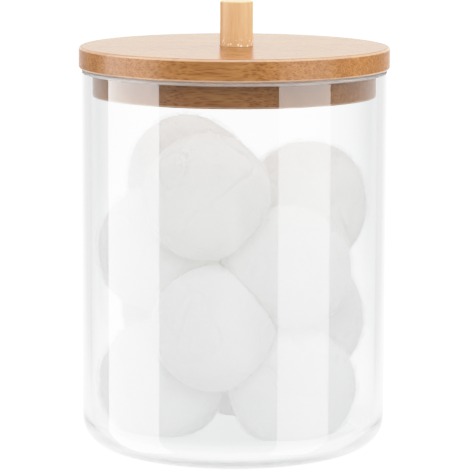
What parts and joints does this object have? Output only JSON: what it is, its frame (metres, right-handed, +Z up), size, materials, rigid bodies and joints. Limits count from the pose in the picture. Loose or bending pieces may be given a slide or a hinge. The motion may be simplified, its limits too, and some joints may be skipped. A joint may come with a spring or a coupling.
{
  "type": "round storage jar",
  "caption": "Clear round canister with a push-in bamboo lid and a peg knob, filled with a heap of loose cotton balls.",
  "frame": {"origin": "middle of the jar's underside, on the surface that it stands on", "axes": "+Z up along the jar's axis, -Y towards the side that the picture shows, +X to its right"},
  "size_m": [0.0918, 0.0918, 0.1323],
  "materials": {
    "clear_plastic": "clear moulded acrylic, polished on both sides",
    "bamboo_board": "pressed bamboo board, turned and lacquered, with open end grain at two sides",
    "bamboo_peg": "turned bamboo peg, lightly sanded, with grain along its length",
    "cotton": "loose bleached cotton, matt and slightly fuzzy"
  },
  "bodies": {
    "jar": {"jar": "clear_plastic", "cotton_ball_01": "cotton", "cotton_ball_02": "cotton", "cotton_ball_03": "cotton", "cotton_ball_04": "cotton", "cotton_ball_05": "cotton", "cotton_ball_06": "cotton", "cotton_ball_07": "cotton", "cotton_ball_08": "cotton", "cotton_ball_09": "cotton", "cotton_ball_10": "cotton", "cotton_ball_11": "cotton", "cotton_ball_12": "cotton"},
    "lid": {"lid": "bamboo_board", "knob": "bamboo_peg"}
  },
  "joints": [
    {"name": "lid_lift", "type": "slide", "parent": "jar", "child": "lid", "axis": [0, 0, 1], "range_m": [0, 0.1]}
  ]
}
